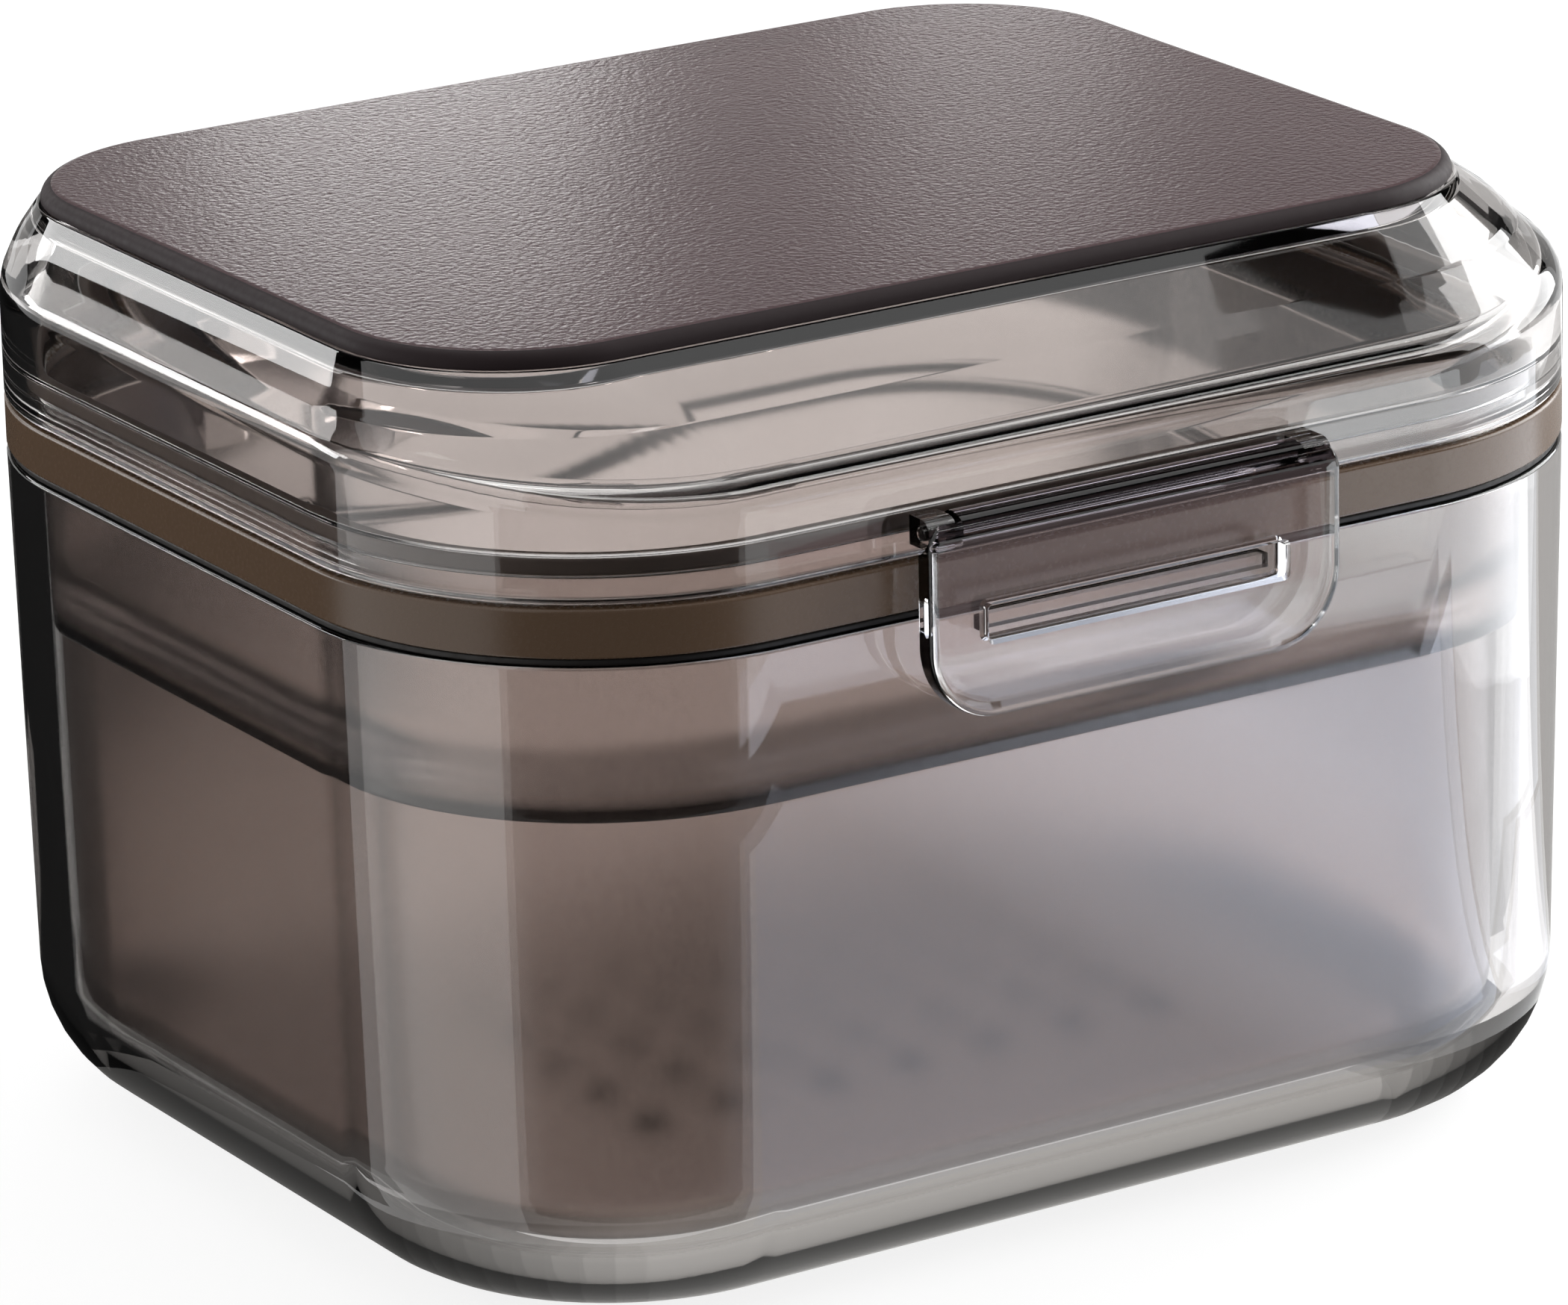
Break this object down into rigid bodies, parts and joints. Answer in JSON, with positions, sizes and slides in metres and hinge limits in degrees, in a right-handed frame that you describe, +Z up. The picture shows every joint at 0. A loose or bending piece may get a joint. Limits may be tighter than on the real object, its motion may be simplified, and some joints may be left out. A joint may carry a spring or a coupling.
{
  "type": "orthodontic retainer case",
  "caption": "Smoky clear box for soaking and carrying a dental retainer: thick clear tub, hanging frosted drain basket, hinged lid with a frosted panel and a front flap latch.",
  "frame": {"origin": "middle of the tub's flat foot, on the surface that the case stands on", "axes": "+Z up, +X along the case's width, the latch faces -Y and the hinge is at +Y"},
  "size_m": [0.1, 0.0935, 0.0685],
  "materials": {
    "clear_smoke": "clear polished plastic with a smoky grey-brown tint",
    "frosted_smoke": "frosted translucent plastic, grey-brown",
    "frosted_panel": "fine-grained frosted plate, grey-brown",
    "seal": "dark soft silicone",
    "pin_steel": "drawn steel rod",
    "pin_smoke": "dark smoky moulded plastic"
  },
  "bodies": {
    "case": {"outer_case": "clear_smoke", "rim_seal": "seal", "drain_basket": "frosted_smoke", "hinge_pin_left": "pin_steel", "hinge_pin_right": "pin_steel"},
    "lid": {"lid_shell": "clear_smoke", "lid_panel": "frosted_panel", "lid_seal": "seal", "latch_pin": "pin_smoke"},
    "latch": {"latch": "clear_smoke"}
  },
  "joints": [
    {"name": "lid_hinge", "type": "hinge", "parent": "case", "child": "lid", "pos_m": [0, 0.0454, 0.05175], "axis": [-1, 0, 0], "range_deg": [0, 110]},
    {"name": "latch_flip", "type": "hinge", "parent": "lid", "child": "latch", "pos_m": [0, -0.04395, 0.05585], "axis": [-1, 0, 0], "range_deg": [-5, 90]}
  ]
}
